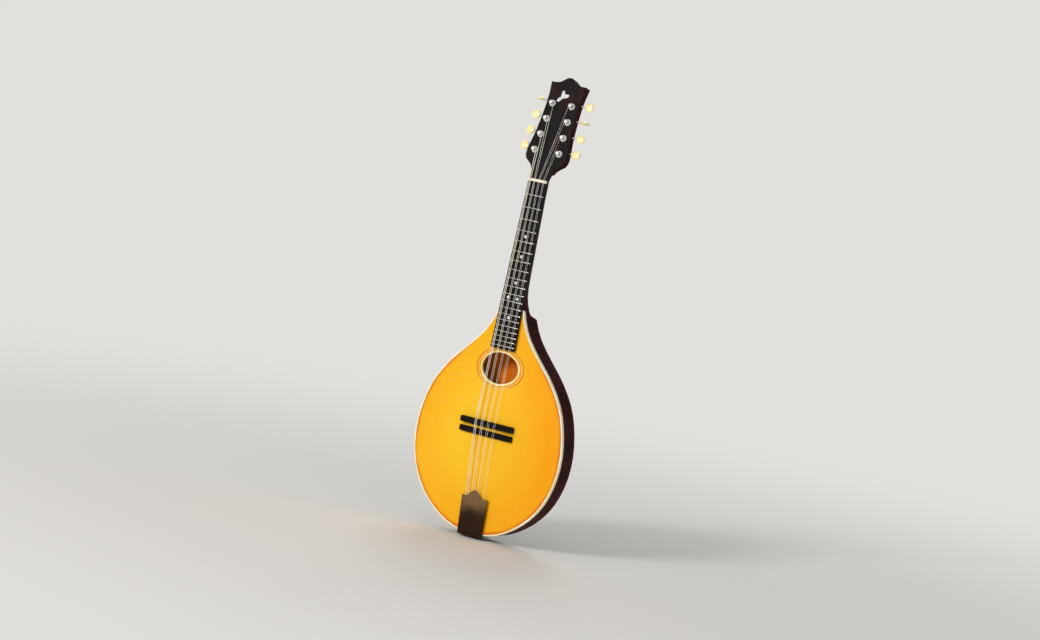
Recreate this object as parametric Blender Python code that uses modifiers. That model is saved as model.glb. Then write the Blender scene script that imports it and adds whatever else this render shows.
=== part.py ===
"""An A-style mandolin as separate pieces: carved body, neck, tuners, bridge, tailpiece and strings.

Metres. X runs from the bass side to the treble side, Y from the front to the back, Z from the tail to
the head. The origin is at the tail, on the plane of the top's rim.
"""

from math import cos, exp, hypot, pi, radians, sin, tan

import bmesh
import bpy
import numpy as np
from mathutils import Matrix, Vector

GAP = 0.0003

# Body. The rim's half outline runs from the tail to the neck, as (half width, height).
RIM_HALF = [
    (0.000, 0.000), (0.036, 0.005), (0.075, 0.0265), (0.1060, 0.061), (0.1215, 0.100),
    (0.1254, 0.138), (0.1210, 0.172), (0.1102, 0.206), (0.0865, 0.2425), (0.0590, 0.272),
    (0.0390, 0.295), (0.0264, 0.317), (0.0202, 0.336),
]
RIM_STEPS = 58
CENTRE_Z = 0.150
RIM_DEPTH = 0.0350
PLATE_THICK = 0.0035
TOP_RISE = 0.0085
BACK_RISE = 0.0125
ARCH_EDGE = 0.93
ARCH_POWER = 1.5
ARCH_RINGS = [0.12, 0.3, 0.48, 0.64, 0.78, 0.89, 1.0]
BINDING_WIDE = 0.0022
BINDING_DEEP = 0.0050
RIB_THICK = 0.0022
LINING_WIDE = 0.0055
LINING_DEEP = 0.0085
LINING_EDGE = 0.0020
LINING_SKIP = 5
BLOCK_INSET = BINDING_WIDE + GAP
NECK_BLOCK_LOW_Z = 0.298
TAIL_BLOCK_HALF = 0.036
TAIL_BLOCK_HIGH_Z = 0.027
TAIL_BLOCK_CORNER = 0.004
BRACE_HALF = 0.088
BRACE_HALF_WIDE = 0.0030
BRACE_DEEP = 0.0110
BRACE_SCALLOP = 0.75
BRACE_BELOW_HOLE = 0.014
BRACE_STATIONS = 11

# Sound hole: an oval, wider than it is tall.
HOLE_Z = 0.2462
HOLE_A = 0.0307
HOLE_B = 0.0228
HOLE_BINDING_WIDE = 0.0026
ROSETTE_OUT = 0.0058
ROSETTE_WIDE = 0.0012
ROSETTE_DEEP = 0.0012
HOLE_STEPS = 40

# Strings, nut and fingerboard.
SCALE = 0.3524
COMPENSATION = 0.0046
NUT_Z = 0.5205
NUT_LONG = 0.0040
NUT_HALF = 0.0150
NUT_PROUD = 0.0010
BOARD_NUT_Y = 0.0053
BOARD_TILT = radians(2.86)
BOARD_THICK = 0.0035
BOARD_END_Z = 0.2743
BOARD_END_HALF = 0.0202
STRING_NUT_Y = 0.0040
COURSE_NUT = 0.0076
COURSE_BRIDGE = 0.0107
COURSE_TAIL = 0.0090
PAIR_NUT = 0.0010
PAIR_BRIDGE = 0.0013
PAIR_TAIL = 0.0021
STRING_RADII = [0.00048, 0.00030, 0.00019, 0.00014]
COURSE_NAMES = ["g", "d", "a", "e"]

# Neck and head.
NECK_END_Z = 0.336
# The heel's seat on the body leans: its rear edge lies nearer the tail than its front edge.
SEAT_LEAN = 0.36
SEAT_FRONT_Y = -0.0001
NECK_STATIONS = [
    # (z, depth of wood, roundness exponent, extra half width at the body, lean)
    (0.3364, 0.0335, 5.0, 0.0014, SEAT_LEAN), (0.3385, 0.0328, 4.0, 0.0010, SEAT_LEAN),
    (0.3420, 0.0300, 3.2, 0.0006, 0.36), (0.3480, 0.0252, 2.6, 0.0002, 0.28),
    (0.3560, 0.0208, 2.2, 0.0, 0.18), (0.3670, 0.0180, 2.0, 0.0, 0.08), (0.3850, 0.0166, 2.0, 0.0, 0.0),
    (0.4400, 0.0156, 2.0, 0.0, 0.0), (0.4950, 0.0146, 2.0, 0.0, 0.0), (0.5120, 0.0142, 2.2, 0.0, 0.0),
    (0.5247, 0.0136, 2.4, 0.0, 0.0),
]
HEAD_STATIONS = [
    # (distance along the head, half width, depth, roundness exponent)
    (0.0030, 0.0152, 0.0120, 2.8), (0.0080, 0.0154, 0.0107, 4.5), (0.0150, 0.0156, 0.0106, 6.0),
]
NECK_ARC_STEPS = 12
HEAD_TILT = radians(15.0)
HEAD_Y = 0.0069
HEAD_Z = NUT_Z + NUT_LONG + GAP
HEAD_WOOD = 0.0112
VENEER = 0.0015
HEAD_SIDE = [
    (0.0158, 0.0120), (0.0178, 0.0160), (0.0216, 0.0205), (0.0270, 0.0245), (0.0316, 0.0282),
    (0.0334, 0.0340), (0.0332, 0.0430), (0.0306, 0.0590), (0.0284, 0.0780), (0.0272, 0.0980),
    (0.0268, 0.1150), (0.0273, 0.1300), (0.0286, 0.1400), (0.0294, 0.1462),
]
HEAD_TOP = [
    (0.0294, 0.1462), (0.0210, 0.1464), (0.0140, 0.1482), (0.0085, 0.1524), (0.0045, 0.1552), (0, 0.1560),
]
# The pearl sprig: leaves and a stem about a point of the veneer, as (bearing from the head's crown, reach).
SPRIG_X = -0.0040
SPRIG_V = 0.1255
SPRIG_LEAVES = [(radians(-4), 0.0078), (radians(68), 0.0086), (radians(224), 0.0076)]
SPRIG_POINTS = 48
SPRIG_CORE = 0.0024
SPRIG_SPREAD = 0.50
INLAY_PROUD = 0.00005
INLAY_DEEP = 0.0007
TENON_HALF = 0.0105
TENON_LONG = 0.014
TENON_FRONT_Y = 0.0062
TENON_BACK_Y = 0.0290

# Tuners, in the head's own frame: x across, v along the head, w back from its face.
TUNERS = 4
POST_V = 0.0419
POST_PITCH = 0.0241
POST_X_FIRST = 0.0206
POST_X_LAST = 0.0164
POST_R = 0.0030
POST_PROUD = 0.0072
POST_FOOT_R = 0.0014
WORM_AHEAD = 0.0053
WORM_W = 0.0076
GEAR_TEETH = 14
GEAR_R = 0.0031
TOOTH = 0.0006
GEAR_HALF = 0.0016
SHAFT_R = 0.0012
THREAD_R = 0.00145
SHAFT_THREAD_HALF = 0.0034
THREADS = 4
POCKET_X_IN = 0.0078
POCKET_X_OUT = 0.0062
POCKET_W = 0.0047
POCKET_ENDS = 0.0100
PLATE_W = 0.0012
PLATE_HALF = 0.0078
PLATE_ENDS = 0.0160
PLATE_CORNER = 0.0040
LUG_THICK = 0.0014
LUG_HALF = 0.0022
RUNNING = 0.00012
BUTTON_FIRST_X = 0.0440
BUTTON_STEP_X = -0.0011
BUTTON_LONG = 0.0130
BUTTON_HALF_WIDE = 0.0068
BUTTON_HALF_THICK = 0.0023
EDGE_ON = {("bass", 3), ("treble", 2)}

# Bridge: two ebony bars across the top, the strings notched on the neck-side one.
BRIDGE_Z = NUT_Z - SCALE - COMPENSATION
BRIDGE_PITCH = 0.0135
BAR_HALF = 0.0443
BAR_HALF_WIDE = 0.0043
BAR_TOP_Y = -0.0149
BAR_END_DROP = 0.0008
BAR_END_NARROW = 0.0002
BAR_CAMBER = 0.0004
BAR_CHAMFER = 0.0015
BAR_CROWN_SHARE = 0.6
BAR_FOOT_GAP = 0.0004
BAR_STATIONS = 13
REAR_BAR_LOWER = 0.0016
STRING_BRIDGE_Y = BAR_TOP_Y - 0.0009

# Tailpiece.
BASE_HALF = 0.0195
BASE_LOW_Z = -0.0005
BASE_HIGH_Z = 0.0480
BASE_TAIL_Y = -0.0016
BASE_NECK_Y = -0.0040
BASE_THICK = 0.0011
BASE_LEG_Y = 0.0255
HOOK_Z = 0.0280
HOOK_R = 0.0009
HOOK_TALL = 0.0024
COVER_HALF = 0.0220
COVER_TAIL_HALF = 0.0208
COVER_SHOULDER_Z = 0.0550
COVER_APEX_Z = 0.0655
COVER_FOOT = 0.0004
COVER_SIDE = 0.0034
COVER_CROWN = 0.0056
COVER_CROWN_SHARE = 1 / 1.045
COVER_ROUND = 0.0007
COVER_SHEET = 0.0008
COVER_END_Z = -0.0029
COVER_END_Y = 0.0050
COVER_END_CURL = 0.0010
PIN_Y = 0.0170
PIN_PROFILE = [
    (0.0000, -0.0052), (0.0042, -0.0052), (0.0058, -0.0046), (0.0066, -0.0036), (0.0066, -0.0019),
    (0.0000, -0.0019),
]
PIN_SHANK_R = 0.0034
PIN_TAPER = 0.0006
PIN_SHANK_HIGH_Z = 0.0200

PARTS = bpy.data.collections.new("mandolin")
CUTTERS = bpy.data.collections.new("cutters")


def material(name, colour, roughness, metallic=0.0):
    """A Principled material of one plain colour."""
    made = bpy.data.materials.new(name)
    made.use_nodes = True
    shader = made.node_tree.nodes["Principled BSDF"]
    shader.inputs["Base Color"].default_value = (*colour, 1.0)
    shader.inputs["Roughness"].default_value = roughness
    shader.inputs["Metallic"].default_value = metallic
    made.diffuse_color = (*colour, 1.0)
    return made


def place(name, mesh, surface, frame=None, helper=False):
    """Adds a mesh object to the part, or to the cutters, at a frame of its own."""
    obj = bpy.data.objects.new(name, mesh)
    (CUTTERS if helper else PARTS).objects.link(obj)
    obj.matrix_world = frame or Matrix.Identity(4)
    if surface:
        mesh.materials.append(surface)
    if helper:
        obj.hide_render = True
        obj.display_type = "WIRE"
    return obj


def finish(build, name, surface, frame=None, helper=False, smooth=True):
    """Turns a bmesh into a placed object with its faces pointing outward."""
    bmesh.ops.recalc_face_normals(build, faces=build.faces)
    mesh = bpy.data.meshes.new(name)
    build.to_mesh(mesh)
    build.free()
    if smooth:
        mesh.shade_smooth()
    return place(name, mesh, surface, frame, helper)


def skin(build, rings):
    """Skins a closed form through rings of equally many points, with a flat cap at each end."""
    rows = [[build.verts.new(point) for point in ring] for ring in rings]
    for low, high in zip(rows, rows[1:]):
        for i in range(len(low)):
            build.faces.new((low[i - 1], low[i], high[i], high[i - 1]))
    build.faces.new(rows[0][::-1])
    build.faces.new(rows[-1])


def loft(name, rings, surface, frame=None, helper=False, smooth=True):
    build = bmesh.new()
    skin(build, rings)
    return finish(build, name, surface, frame, helper, smooth)


def loop_sweep(name, rings, surface, helper=False):
    """A closed ring-shaped solid: the last cross-section joins the first."""
    build = bmesh.new()
    rows = [[build.verts.new(point) for point in ring] for ring in rings]
    for low, high in zip(rows, rows[1:] + rows[:1]):
        for i in range(len(low)):
            build.faces.new((low[i - 1], low[i], high[i], high[i - 1]))
    return finish(build, name, surface, helper=helper)


def add_box(build, low, high):
    """Adds a box between two corners to a bmesh."""
    centre = (Vector(low) + Vector(high)) / 2
    size = Vector(high) - Vector(low)
    bmesh.ops.create_cube(build, size=1, matrix=Matrix.Translation(centre) @ Matrix.Diagonal((*size, 1)))


def add_rod(build, start, end, radius, sides=12):
    """Adds a closed cylinder between two points to a bmesh."""
    start, end = Vector(start), Vector(end)
    turn = (end - start).to_track_quat("Z", "Y").to_matrix().to_4x4()
    bmesh.ops.create_cone(
        build, cap_ends=True, segments=sides, radius1=radius, radius2=radius,
        depth=(end - start).length, matrix=Matrix.Translation((start + end) / 2) @ turn,
    )


def combine(target, other, operation):
    """Adds an exact Boolean to the target."""
    modifier = target.modifiers.new(operation.lower(), "BOOLEAN")
    modifier.operation = operation
    modifier.solver = "EXACT"
    modifier.object = other


def turned(name, profile, surface, frame, sides=20):
    """A turned form about its own Z, from a profile of (radius, height) that runs top to bottom."""
    mesh = bpy.data.meshes.new(name)
    edges = [(i, i + 1) for i in range(len(profile) - 1)]
    mesh.from_pydata([(r, 0, z) for r, z in profile], edges, [])
    obj = place(name, mesh, surface, frame)
    screw = obj.modifiers.new("turn", "SCREW")
    screw.steps = sides
    screw.render_steps = sides
    screw.use_merge_vertices = True
    screw.merge_threshold = 0.00001
    screw.use_smooth_shade = True
    return obj


def spline(knots, steps):
    """A smooth line through the knots, in equal steps along its length."""
    knots = np.array(knots, float)
    chords = np.linalg.norm(np.diff(knots, axis=0), axis=1)[:, None]
    slopes = np.diff(knots, axis=0) / chords
    before, after = chords[:-1], chords[1:]
    middle = (slopes[:-1] * after + slopes[1:] * before) / (before + after)
    tangents = np.vstack([slopes[0], middle, slopes[-1]])
    t = np.linspace(0, 1, 16, endpoint=False)[:, None]
    line = []
    for i, chord in enumerate(chords):
        start, end = knots[i], knots[i + 1]
        line.append(
            (2 * t**3 - 3 * t**2 + 1) * start + (t**3 - 2 * t**2 + t) * chord * tangents[i]
            + (3 * t**2 - 2 * t**3) * end + (t**3 - t**2) * chord * tangents[i + 1]
        )
    line = np.vstack([*line, knots[-1:]])
    reach = np.concatenate([[0], np.cumsum(np.linalg.norm(np.diff(line, axis=0), axis=1))])
    even = np.linspace(0, reach[-1], steps + 1)
    return np.stack([np.interp(even, reach, line[:, 0]), np.interp(even, reach, line[:, 1])], axis=1)


def inward(line, inset):
    """The line moved to its left by the inset."""
    along = np.gradient(line, axis=0)
    along /= np.linalg.norm(along, axis=1)[:, None]
    return line + inset * np.stack([-along[:, 1], along[:, 0]], axis=1)


# The rim from the bass neck corner, round the tail, to the treble neck corner.
RIM = spline([(-x, z) for x, z in RIM_HALF[::-1]] + RIM_HALF[1:], RIM_STEPS)
RIM_BEARING = np.arctan2(RIM[:, 0], CENTRE_Z - RIM[:, 1])
RIM_REACH = np.hypot(RIM[:, 0], RIM[:, 1] - CENTRE_Z)


def rim_share(x, z):
    """How far a point lies from the body's centre to its rim, from 0 to 1."""
    bearing = np.arctan2(x, CENTRE_Z - z)
    if abs(bearing) > RIM_BEARING[-1]:
        return (z - CENTRE_Z) / (NECK_END_Z - CENTRE_Z)
    return hypot(x, z - CENTRE_Z) / np.interp(bearing, RIM_BEARING, RIM_REACH)


def arch(x, z):
    """The carved plates' height above the rim plane, as a share of their rise."""
    share = min(1.0, rim_share(x, z) / ARCH_EDGE)
    return max(0.0, cos(pi / 2 * share)) ** ARCH_POWER


def top_y(x, z):
    return -TOP_RISE * arch(x, z)


def plate_outline(inset):
    """A plate's closed outline inside the rim, ending square at the neck."""
    line = inward(RIM, inset) if inset else RIM
    line = line[(line[:, 1] < NECK_END_Z) | (np.arange(len(line)) % (len(line) - 1) == 0)]
    line[[0, -1], 1] = NECK_END_Z - GAP
    return line


def carved_plate(name, inset, rim_y, rise, thick, surface):
    """A carved plate: thick points from its outer face into the body, and rise is along Y."""
    line = plate_outline(inset)
    centre = np.array([0, CENTRE_Z])

    def ring(share, lift):
        points = centre + share * (line - centre)
        return [(x, rim_y + lift + rise * arch(x, z), z) for x, z in points]

    inside = [ring(share, thick) for share in ARCH_RINGS]
    outside = [ring(share, 0) for share in ARCH_RINGS[::-1]]
    return loft(name, inside + outside, surface)


def rim_rings(first, last, section):
    """Rings of a strip that follows the rim between two of its points. section lists (inset, y) corners."""
    corners = [(inward(RIM, inset) if inset else RIM, y) for inset, y in section]
    return [[(line[i][0], y, line[i][1]) for line, y in corners] for i in range(first, last + 1)]


def hole_ring(name, grow_in, grow_out, proud, deep, surface, helper=False):
    """A ring round the sound hole that follows the arched top."""
    rings = []
    for k in range(HOLE_STEPS):
        angle = 2 * pi * k / HOLE_STEPS
        section = []
        for grow, drop in ((grow_in, proud), (grow_out, proud), (grow_out, deep), (grow_in, deep)):
            x = (HOLE_A + grow) * cos(angle)
            z = HOLE_Z + (HOLE_B + grow) * sin(angle)
            section.append((x, top_y(x, z) + drop, z))
        rings.append(section)
    return loop_sweep(name, rings, surface, helper)


def oval_cutter(grow):
    """A prism through the top, the sound hole's oval made larger all round."""
    build = bmesh.new()
    size = Matrix.Diagonal((HOLE_A + grow, HOLE_B + grow, 1, 1))
    turn = Matrix.Translation((0, 0, HOLE_Z)) @ Matrix.Rotation(pi / 2, 4, "X") @ size
    bmesh.ops.create_cone(
        build, cap_ends=True, segments=HOLE_STEPS, radius1=1, radius2=1, depth=0.06, matrix=turn
    )
    return finish(build, "hole_cutter", None, helper=True)


def build_body(finishes):
    """The sound box: plates, ribs, linings, blocks, brace, bindings and the rings round the hole."""
    top = carved_plate("top_plate", BLOCK_INSET, 0, -TOP_RISE, PLATE_THICK, finishes["spruce"])
    combine(top, oval_cutter(HOLE_BINDING_WIDE + GAP), "DIFFERENCE")
    seat = seat_cutter()
    combine(top, seat, "DIFFERENCE")
    groove = hole_ring(
        "rosette_cutter", ROSETTE_OUT - GAP, ROSETTE_OUT + ROSETTE_WIDE + GAP, -0.002,
        ROSETTE_DEEP + GAP, None, helper=True,
    )
    combine(top, groove, "DIFFERENCE")
    hole_ring("soundhole_binding", 0, HOLE_BINDING_WIDE, -0.0001, PLATE_THICK, finishes["binding"])
    hole_ring(
        "rosette_ring", ROSETTE_OUT, ROSETTE_OUT + ROSETTE_WIDE, -0.00005, ROSETTE_DEEP,
        finishes["binding"],
    )
    back_y = RIM_DEPTH - PLATE_THICK
    back = carved_plate("back_plate", 0, RIM_DEPTH, BACK_RISE, -PLATE_THICK, finishes["dark_wood"])
    combine(back, seat, "DIFFERENCE")
    rim_points = len(RIM) - 1
    tail = rim_points // 2
    edge = [(0, 0), (BINDING_WIDE, 0), (BINDING_WIDE, BINDING_DEEP), (0, BINDING_DEEP)]
    binding = loft("top_binding", rim_rings(0, rim_points, edge), finishes["binding"])
    combine(binding, seat, "DIFFERENCE")
    rib_y = BINDING_DEEP + GAP
    wall = [(0, rib_y), (RIB_THICK, rib_y), (RIB_THICK, back_y - GAP), (0, back_y - GAP)]
    inset = RIB_THICK + GAP
    front_y = PLATE_THICK + GAP
    front_low = front_y + LINING_DEEP
    rear_y = back_y - GAP
    front_strip = [
        (inset, rib_y), (inset + LINING_WIDE, front_y), (inset + LINING_WIDE, front_y + LINING_EDGE),
        (inset, front_low),
    ]
    rear_strip = [
        (inset, rear_y - LINING_DEEP), (inset + LINING_WIDE, rear_y - LINING_EDGE),
        (inset + LINING_WIDE, rear_y), (inset, rear_y),
    ]
    bore = pin_bore()
    halves = {"bass": (0, tail), "treble": (tail, rim_points)}
    for side, (first, last) in halves.items():
        sign = -1 if side == "bass" else 1
        rings = rim_rings(first, last, wall)
        end = 0 if side == "treble" else -1
        rings[end] = [(sign * GAP / 2, y, z) for x, y, z in rings[end]]
        rib = loft(f"rib_{side}", rings, finishes["dark_wood"])
        combine(rib, bore, "DIFFERENCE")
        combine(rib, seat, "DIFFERENCE")
        start, stop = first + LINING_SKIP, last - LINING_SKIP
        loft(f"lining_top_{side}", rim_rings(start, stop, front_strip), finishes["bare_wood"])
        loft(f"lining_back_{side}", rim_rings(start, stop, rear_strip), finishes["bare_wood"])
    build_blocks(finishes, front_y, rear_y, bore, seat)
    build_brace(finishes)
    return bore


def pin_bore():
    """The hole for the end pin, through the base's leg, the ribs' seam and the tail block."""
    build = bmesh.new()
    add_rod(build, (0, PIN_Y, -0.02), (0, PIN_Y, PIN_SHANK_HIGH_Z + 0.001), PIN_SHANK_R + 0.0003, 20)
    return finish(build, "pin_bore", None, helper=True)


def seat_cutter():
    """The wedge taken off the body's neck end, where the heel seats."""
    low, high = SEAT_FRONT_Y - GAP, RIM_DEPTH + 0.01
    end = NECK_END_Z - GAP
    section = [(low, end), (high, end - SEAT_LEAN * (high - low)), (high, end + 0.02), (low, end + 0.02)]
    wide = 2 * BOARD_END_HALF
    rings = [[(x, y, z) for y, z in section] for x in (-wide, wide)]
    return loft("heel_seat", rings, None, helper=True, smooth=False)


def block(name, points, low_y, high_y, surface):
    """A prism with an outline in X and Z, between two depths."""
    rings = [[(x, y, z) for x, z in points] for y in (low_y, high_y)]
    return loft(name, rings, surface, smooth=False)


def build_blocks(finishes, front_y, rear_y, bore, seat):
    """The head block, which takes the neck's tenon, and the tail block, bored for the end pin."""
    inner = inward(RIM, RIB_THICK + GAP)
    neck_side = inner[(inner[:, 1] > NECK_BLOCK_LOW_Z) & (inner[:, 1] < NECK_END_Z) & (inner[:, 0] > 0)]
    high = NECK_END_Z - 2 * GAP
    x_low = np.interp(NECK_BLOCK_LOW_Z, neck_side[:, 1], neck_side[:, 0])
    right = [(x_low, NECK_BLOCK_LOW_Z), *map(tuple, neck_side), (neck_side[-1][0], high)]
    outline = right + [(-x, z) for x, z in right[::-1]]
    neck_block = block("neck_block", outline, front_y, rear_y, finishes["bare_wood"])
    build = bmesh.new()
    add_box(
        build, (-TENON_HALF - GAP, 0, NECK_END_Z - TENON_LONG - GAP),
        (TENON_HALF + GAP, TENON_BACK_Y + GAP, NECK_END_Z + 0.01),
    )
    combine(neck_block, finish(build, "mortise", None, helper=True, smooth=False), "DIFFERENCE")
    combine(neck_block, seat, "DIFFERENCE")
    tail_side = inner[(inner[:, 1] < TAIL_BLOCK_HIGH_Z) & (abs(inner[:, 0]) < TAIL_BLOCK_HALF)]
    corner = TAIL_BLOCK_HALF - TAIL_BLOCK_CORNER
    outline = [*map(tuple, tail_side), (corner, TAIL_BLOCK_HIGH_Z), (-corner, TAIL_BLOCK_HIGH_Z)]
    tail_block = block("tail_block", outline, front_y, rear_y, finishes["bare_wood"])
    combine(tail_block, bore, "DIFFERENCE")


def build_brace(finishes):
    """The cross brace under the top, just below the sound hole, shaped to the arch above it."""
    wide = BRACE_HALF_WIDE
    z = HOLE_Z - HOLE_B - BRACE_BELOW_HOLE
    rings = []
    for k in range(BRACE_STATIONS):
        share = 2 * k / (BRACE_STATIONS - 1) - 1
        x = BRACE_HALF * share
        fall = BRACE_DEEP * (1 - BRACE_SCALLOP * share**2)
        rings.append([
            (x, top_y(x, z + side) + PLATE_THICK + 2 * GAP + drop, z + side)
            for side, drop in ((-wide, 0), (wide, 0), (wide, fall), (-wide, fall))
        ])
    loft("cross_brace", rings, finishes["bare_wood"])


def board_y(z):
    """The fingerboard's playing face."""
    return BOARD_NUT_Y + (z - NUT_Z) * tan(BOARD_TILT)


def board_half(z):
    return NUT_HALF + (BOARD_END_HALF - NUT_HALF) * (NUT_Z - z) / (NUT_Z - BOARD_END_Z)


HEAD_FRAME = Matrix.Translation((0, HEAD_Y, HEAD_Z)) @ Matrix.Rotation(-HEAD_TILT, 4, "X")


def head_point(x, v, w):
    """A point across the head, along it from the nut, and back from its face."""
    return HEAD_FRAME @ Vector((x, w, v))


def neck_section(half, front, depth, power, frame=None, z=0.0):
    """A flat front with a rounded back, as a ring of points."""
    ring = []
    for k in range(NECK_ARC_STEPS + 1):
        angle = pi * k / NECK_ARC_STEPS
        x = half * np.sign(round(cos(angle), 9)) * abs(cos(angle)) ** (2 / power)
        y = front + depth * abs(sin(angle)) ** (2 / power)
        ring.append(frame @ Vector((x, y, z)) if frame else Vector((x, y, z)))
    return ring


def head_outline():
    """The head's outline from its lower treble corner, over the crown, to its lower bass corner."""
    side = [tuple(p) for p in spline(HEAD_SIDE, 20)]
    crown = [tuple(p) for p in spline(HEAD_TOP, 9)]
    half = side + crown[1:]
    return half + [(-x, v) for x, v in half[-2::-1]]


def tuner_x(index):
    return POST_X_FIRST + (POST_X_LAST - POST_X_FIRST) * index / (TUNERS - 1)


def post_v(index):
    return POST_V + POST_PITCH * index


def head_cutter(name, fill):
    build = bmesh.new()
    fill(build)
    return finish(build, name, None, HEAD_FRAME, helper=True)


def build_neck(finishes):
    """The neck and head in one piece of wood, with its tenon, and the tuners' pockets and bores."""
    rings = []
    for z, depth, power, flare, lean in NECK_STATIONS:
        front = board_y(z) + BOARD_THICK + GAP
        ring = neck_section(board_half(z) + flare, front, depth, power, z=z)
        rings.append([(x, y, at - lean * (y - SEAT_FRONT_Y)) for x, y, at in ring])
    for v, half, depth, power in HEAD_STATIONS:
        rings.append(neck_section(half, VENEER + GAP + 0.0001, depth, power, HEAD_FRAME, v))
    neck = loft("neck", rings, finishes["dark_wood"])
    outline = head_outline()
    slab = head_slab(outline, VENEER + GAP, VENEER + HEAD_WOOD)
    combine(neck, loft("head_slab", slab, None, HEAD_FRAME, helper=True), "UNION")
    build = bmesh.new()
    add_box(
        build, (-TENON_HALF, TENON_FRONT_Y, NECK_END_Z - TENON_LONG),
        (TENON_HALF, TENON_BACK_Y, NECK_END_Z + 0.003),
    )
    combine(neck, finish(build, "tenon", None, helper=True, smooth=False), "UNION")
    last = post_v(TUNERS - 1)

    def pockets(build):
        for sign in (-1, 1):
            skin(build, [[
                (sign * (tuner_x(i) + side), w, v)
                for i, side, v in (
                    (0, -POCKET_X_IN, POST_V - POCKET_ENDS), (0, POCKET_X_OUT, POST_V - POCKET_ENDS),
                    (TUNERS - 1, POCKET_X_OUT, last + POCKET_ENDS),
                    (TUNERS - 1, -POCKET_X_IN, last + POCKET_ENDS),
                )
            ] for w in (POCKET_W, VENEER + HEAD_WOOD + 0.004)])

    def bores(build):
        for sign in (-1, 1):
            for i in range(TUNERS):
                x, v = sign * tuner_x(i), post_v(i)
                add_rod(build, (x, -0.004, v), (x, POCKET_W + 0.002, v), POST_R + GAP)

    def side_holes(build):
        for sign in (-1, 1):
            for i in range(TUNERS):
                v = post_v(i) + WORM_AHEAD
                x = tuner_x(i) + POCKET_X_OUT
                add_rod(build, (sign * (x - 0.003), WORM_W, v), (sign * 0.045, WORM_W, v), SHAFT_R + GAP)

    for name, fill in (("pockets", pockets), ("bores", bores), ("side_holes", side_holes)):
        combine(neck, head_cutter(name, fill), "DIFFERENCE")
    build_veneer(finishes, outline, bores)


def head_slab(outline, front, back):
    """Rings of a slab of the head between two depths."""
    return [[(x, w, v) for x, v in outline] for w in (front, back)]


def build_veneer(finishes, outline, bores):
    """The ebony veneer on the head's face, with its pearl sprig let in."""
    foot = [(NUT_HALF, GAP), *outline, (-NUT_HALF, GAP)]
    veneer = loft("head_veneer", head_slab(foot, 0, VENEER), finishes["ebony"], HEAD_FRAME)
    combine(veneer, head_cutter("veneer_bores", bores), "DIFFERENCE")
    inlay = head_slab(sprig_outline(0), -INLAY_PROUD, INLAY_DEEP)
    loft("head_inlay", inlay, finishes["pearl"], HEAD_FRAME, smooth=False)
    seat = head_slab(sprig_outline(GAP), -VENEER, INLAY_DEEP + GAP)
    combine(veneer, loft("inlay_seat", seat, None, HEAD_FRAME, helper=True), "DIFFERENCE")


def sprig_outline(grow):
    """A small sprig, its stem low on the bass side and its leaves towards the crown and the treble side."""
    points = []
    for k in range(SPRIG_POINTS):
        angle = 2 * pi * k / SPRIG_POINTS
        reach = SPRIG_CORE + grow
        for bearing, leaf in SPRIG_LEAVES:
            away = (angle - bearing + pi) % (2 * pi) - pi
            reach += leaf * exp(-((away / SPRIG_SPREAD) ** 2))
        points.append((SPRIG_X + reach * sin(angle), SPRIG_V + reach * cos(angle)))
    return points


def build_board(finishes):
    """The fingerboard and the nut."""
    rings = []
    for z in (BOARD_END_Z, NUT_Z - GAP):
        half, face = board_half(z), board_y(z)
        rings.append([
            (-half, face + BOARD_THICK, z), (-half, face, z), (half, face, z), (half, face + BOARD_THICK, z)
        ])
    loft("fingerboard", rings, finishes["ebony"], smooth=False)
    face = STRING_NUT_Y + STRING_RADII[0] + GAP
    foot = board_y(NUT_Z) + BOARD_THICK
    low, high = NUT_Z, NUT_Z + NUT_LONG
    rings = [
        [(-x, foot, low), (-x, face, low), (-x, face + 0.0003, high), (-x, foot, high)]
        for x in (NUT_HALF, -NUT_HALF)
    ]
    loft("nut", rings, finishes["ivoroid"], smooth=False)


def bar_rings(z, top_face):
    """Cross-sections of one bridge bar: the foot follows the arch and the ends taper down."""
    rings = []
    for k in range(BAR_STATIONS):
        share = 2 * k / (BAR_STATIONS - 1) - 1
        x = BAR_HALF * share
        end = abs(share) ** 6
        half = BAR_HALF_WIDE - BAR_END_NARROW * end
        face = top_face + BAR_END_DROP * end + BAR_CAMBER * share**2
        crown = half * BAR_CROWN_SHARE
        corners = ((-half, BAR_CHAMFER), (-crown, 0), (crown, 0), (half, BAR_CHAMFER))
        ring = [(x, top_y(x, z + side) - BAR_FOOT_GAP, z + side) for side in (half, -half)]
        rings.append(ring + [(x, face + drop, z + side) for side, drop in corners])
    return rings


def build_bridge(finishes):
    loft("bridge_front_bar", bar_rings(BRIDGE_Z, BAR_TOP_Y), finishes["ebony"])
    rear_z = BRIDGE_Z - BRIDGE_PITCH
    loft("bridge_rear_bar", bar_rings(rear_z, BAR_TOP_Y + REAR_BAR_LOWER), finishes["ebony"])


def course_x(course, pair, spacing, pair_half):
    """Where a string lies: course 0 is the lowest-pitched, on the bass side."""
    return (course - 1.5) * spacing + (pair - 0.5) * 2 * pair_half


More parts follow.
